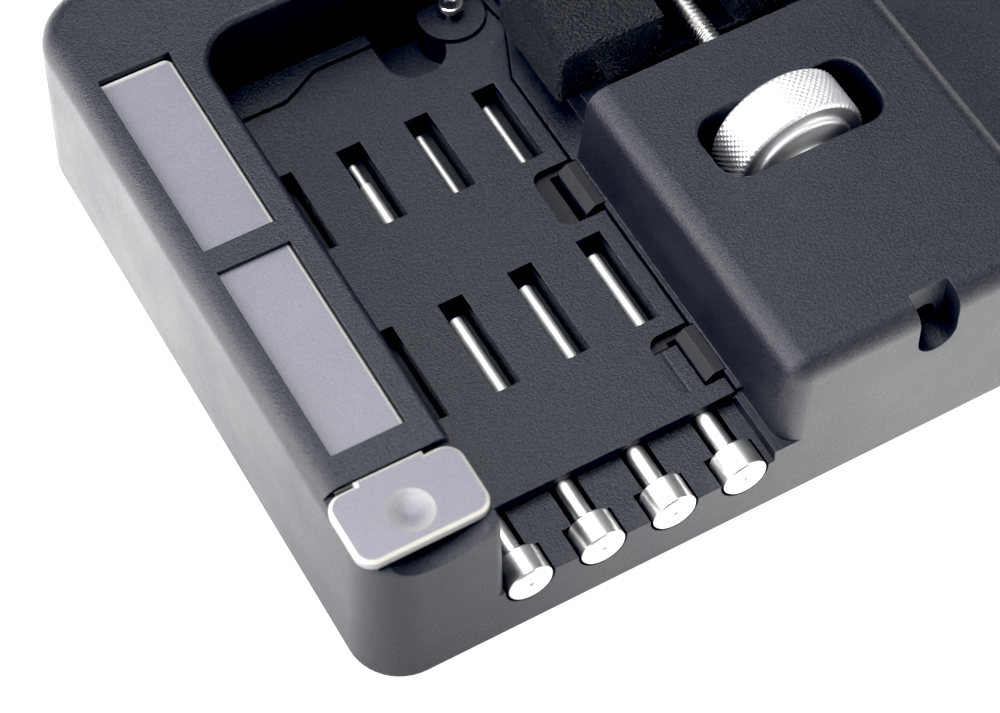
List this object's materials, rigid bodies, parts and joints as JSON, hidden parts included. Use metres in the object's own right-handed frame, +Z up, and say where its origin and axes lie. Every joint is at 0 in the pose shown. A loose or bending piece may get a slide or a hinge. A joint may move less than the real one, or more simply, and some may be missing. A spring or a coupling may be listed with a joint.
{
  "type": "pin removal vice",
  "caption": "Bench vice for driving out bracelet-link and key pins, with a thumbwheel-driven jaw, stored punch bits, a slotted pin plate and a part box.",
  "frame": {"origin": "centre of the footprint, on the table", "axes": "+Z up, +Y from the front wall with the stored bits to the back, +X from the part box side to the vice side"},
  "size_m": [0.162, 0.128, 0.0381],
  "materials": {
    "black_housing": "satin black with a fine moulded grain",
    "black_plate": "satin black with a fine moulded grain",
    "black_insert": "matt black",
    "jaw_black": "coarse cast black",
    "frosted_plastic": "frosted translucent grey",
    "steel_cover": "black powder coat",
    "rubber": "matt",
    "chrome": "polished",
    "knurled_chrome": "polished, diamond knurled rim",
    "bit_chrome": "bright turned steel",
    "pin_steel": "bright drawn steel",
    "screw_steel": "turned steel",
    "rod_steel": "ground steel",
    "face_steel": "ground steel",
    "bronze": "sintered bronze"
  },
  "bodies": {
    "frame": {"body_shell": "black_housing", "base_plate": "steel_cover", "base_screws": "screw_steel", "rubber_feet": "rubber", "pin_rack": "black_insert", "spring_clips": "black_insert", "retaining_post": "chrome", "screw_bushes": "bronze", "thrust_washers": "bronze", "guide_rods": "rod_steel", "fixed_jaw": "jaw_black", "fixed_face": "face_steel", "fixed_face_screws": "screw_steel", "fixed_jaw_screws": "screw_steel"},
    "wheel": {"thumbwheel": "knurled_chrome"},
    "jaw": {"moving_jaw": "jaw_black", "moving_face": "face_steel", "moving_face_screws": "screw_steel", "lead_screw": "screw_steel", "screw_pin": "screw_steel", "guide_block": "black_insert", "guide_block_screws": "screw_steel", "rod_bushes": "bronze"},
    "cover": {"slide_cover": "frosted_plastic"},
    "plate": {"pin_plate": "black_plate"},
    "bit_1": {"punch_bit_1": "bit_chrome"},
    "bit_2": {"punch_bit_2": "bit_chrome"},
    "bit_3": {"punch_bit_3": "bit_chrome"},
    "bit_4": {"punch_bit_4": "bit_chrome"},
    "stepped_pin_1": {"stepped_pin_1": "pin_steel"},
    "stepped_pin_2": {"stepped_pin_2": "pin_steel"},
    "thin_pin_1": {"thin_pin_1": "pin_steel"},
    "thin_pin_2": {"thin_pin_2": "pin_steel"},
    "straight_pin_1": {"straight_pin_1": "pin_steel"},
    "straight_pin_2": {"straight_pin_2": "pin_steel"},
    "straight_pin_3": {"straight_pin_3": "pin_steel"},
    "straight_pin_4": {"straight_pin_4": "pin_steel"}
  },
  "joints": [
    {"name": "wheel_turn", "type": "hinge", "parent": "frame", "child": "wheel", "pos_m": [0.0205, -0.0187, 0.0259], "axis": [0, 1, 0], "range_deg": [-4141, 2521]},
    {"name": "jaw_travel", "type": "slide", "parent": "frame", "child": "jaw", "axis": [0, 1, 0], "range_m": [-0.007, 0.0115]},
    {"name": "cover_slide", "type": "slide", "parent": "frame", "child": "cover", "axis": [0, -1, 0], "range_m": [0, 0.085]},
    {"name": "plate_lift", "type": "slide", "parent": "frame", "child": "plate", "axis": [0, 0, 1], "range_m": [0, 0.006]},
    {"name": "bit_1_draw", "type": "slide", "parent": "frame", "child": "bit_1", "axis": [0, -1, 0], "range_m": [0, 0.03]},
    {"name": "bit_2_draw", "type": "slide", "parent": "frame", "child": "bit_2", "axis": [0, -1, 0], "range_m": [0, 0.03]},
    {"name": "bit_3_draw", "type": "slide", "parent": "frame", "child": "bit_3", "axis": [0, -1, 0], "range_m": [0, 0.03]},
    {"name": "bit_4_draw", "type": "slide", "parent": "frame", "child": "bit_4", "axis": [0, -1, 0], "range_m": [0, 0.03]},
    {"name": "stepped_pin_1_lift", "type": "slide", "parent": "frame", "child": "stepped_pin_1", "axis": [0, 0, 1], "range_m": [0, 0.02]},
    {"name": "stepped_pin_2_lift", "type": "slide", "parent": "frame", "child": "stepped_pin_2", "axis": [0, 0, 1], "range_m": [0, 0.02]},
    {"name": "thin_pin_1_lift", "type": "slide", "parent": "frame", "child": "thin_pin_1", "axis": [0, 0, 1], "range_m": [0, 0.02]},
    {"name": "thin_pin_2_lift", "type": "slide", "parent": "frame", "child": "thin_pin_2", "axis": [0, 0, 1], "range_m": [0, 0.02]},
    {"name": "straight_pin_1_lift", "type": "slide", "parent": "frame", "child": "straight_pin_1", "axis": [0, 0, 1], "range_m": [0, 0.02]},
    {"name": "straight_pin_2_lift", "type": "slide", "parent": "frame", "child": "straight_pin_2", "axis": [0, 0, 1], "range_m": [0, 0.02]},
    {"name": "straight_pin_3_lift", "type": "slide", "parent": "frame", "child": "straight_pin_3", "axis": [0, 0, 1], "range_m": [0, 0.02]},
    {"name": "straight_pin_4_lift", "type": "slide", "parent": "frame", "child": "straight_pin_4", "axis": [0, 0, 1], "range_m": [0, 0.02]}
  ],
  "couplings": [
    {"joint": "wheel_turn", "follows": "jaw_travel", "rad_per_m": -6283.2}
  ]
}
